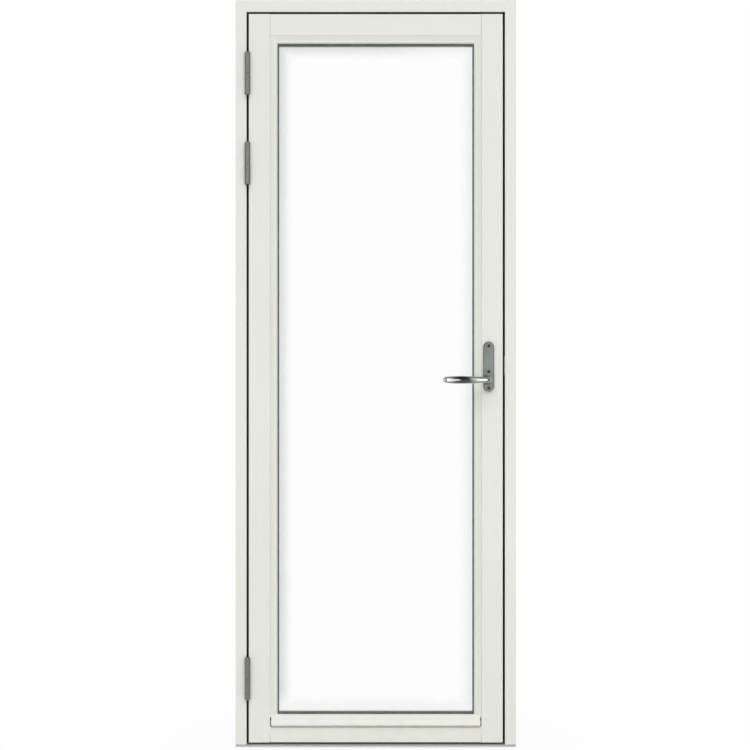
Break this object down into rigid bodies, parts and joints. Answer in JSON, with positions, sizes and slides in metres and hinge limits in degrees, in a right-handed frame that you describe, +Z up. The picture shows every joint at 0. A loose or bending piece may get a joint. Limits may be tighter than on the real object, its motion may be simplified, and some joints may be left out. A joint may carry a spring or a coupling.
{
  "type": "glazed door with frame",
  "caption": "Outward-opening painted timber door with one full-height pane, bevelled glazing beads, lever handle and shoot-rod lock, hung on hinges in its rebated frame and sill.",
  "frame": {"origin": "middle of the sill's underside", "axes": "+X from the hinge side to the lock side, +Y from outdoors to indoors, +Z up"},
  "size_m": [0.78, 0.1674, 2.08],
  "materials": {
    "paint": "softwood under satin white paint",
    "sill_metal": "anodised",
    "oak": "oiled hardwood",
    "rubber": "matt",
    "sealant": "matt",
    "zinc": "zinc plated",
    "screw_steel": "plain",
    "rod_steel": "drawn",
    "brass": "machined",
    "satin_nickel": "satin",
    "spacer_metal": "matt",
    "packer": "plain",
    "glass": "clear float glass"
  },
  "bodies": {
    "frame": {"hinge_jamb": "paint", "lock_jamb": "paint", "frame_head": "paint", "sill": "sill_metal", "hinge_side_stop": "paint", "lock_side_stop": "paint", "head_stop": "paint", "threshold_stop": "oak", "frame_seal": "rubber", "fixing_sleeves": "zinc", "frame_corner_screws": "screw_steel", "strike_plate": "zinc", "head_keep": "zinc", "sill_keep": "zinc", "keep_screws": "screw_steel", "top_hinge_frame_plate": "zinc", "middle_hinge_frame_plate": "zinc", "bottom_hinge_frame_plate": "zinc", "hinge_pins": "screw_steel", "hinge_washers": "brass", "hinge_frame_screws": "screw_steel"},
    "leaf": {"top_hinge_leaf_plate": "zinc", "middle_hinge_leaf_plate": "zinc", "bottom_hinge_leaf_plate": "zinc", "hinge_leaf_screws": "screw_steel", "hinge_stile": "paint", "lock_stile": "paint", "top_rail": "paint", "bottom_rail": "paint", "outer_pane": "glass", "inner_pane": "glass", "spacer_bar": "spacer_metal", "edge_sealant": "sealant", "front_gasket": "rubber", "back_tape": "rubber", "setting_blocks": "packer", "left_bead": "paint", "right_bead": "paint", "top_bead": "paint", "drip_bead": "paint", "lock_case": "zinc", "forend": "zinc", "forend_screws": "screw_steel", "outer_handle_plate": "satin_nickel", "inner_handle_plate": "satin_nickel", "handle_through_screws": "screw_steel", "handle_wood_screws": "screw_steel"},
    "lever_set": {"outer_lever": "satin_nickel", "inner_lever": "satin_nickel", "spindle": "screw_steel", "lever_grub_screws": "screw_steel", "lock_pinion": "brass"},
    "bolt": {"side_bolt": "rod_steel"},
    "upper_rod": {"upper_shoot_rod": "rod_steel"},
    "lower_rod": {"lower_shoot_rod": "rod_steel"}
  },
  "joints": [
    {"name": "leaf_swing", "type": "hinge", "parent": "frame", "child": "leaf", "pos_m": [-0.3565, -0.0605, 1.04], "axis": [0, 0, -1], "range_deg": [0, 110]},
    {"name": "lever_turn", "type": "hinge", "parent": "leaf", "child": "lever_set", "pos_m": [0.314, -0.0605, 1.023], "axis": [0, -1, 0], "range_deg": [0, 90]},
    {"name": "bolt_throw", "type": "slide", "parent": "leaf", "child": "bolt", "axis": [1, 0, 0], "range_m": [0, 0.01325]},
    {"name": "upper_rod_slide", "type": "slide", "parent": "leaf", "child": "upper_rod", "axis": [0, 0, 1], "range_m": [0, 0.01325]},
    {"name": "lower_rod_slide", "type": "slide", "parent": "leaf", "child": "lower_rod", "axis": [0, 0, -1], "range_m": [0, 0.01325]}
  ],
  "couplings": [
    {"joint": "bolt_throw", "follows": "lever_turn", "m_per_rad": 0.0084},
    {"joint": "upper_rod_slide", "follows": "lever_turn", "m_per_rad": 0.0084},
    {"joint": "lower_rod_slide", "follows": "lever_turn", "m_per_rad": 0.0084}
  ]
}
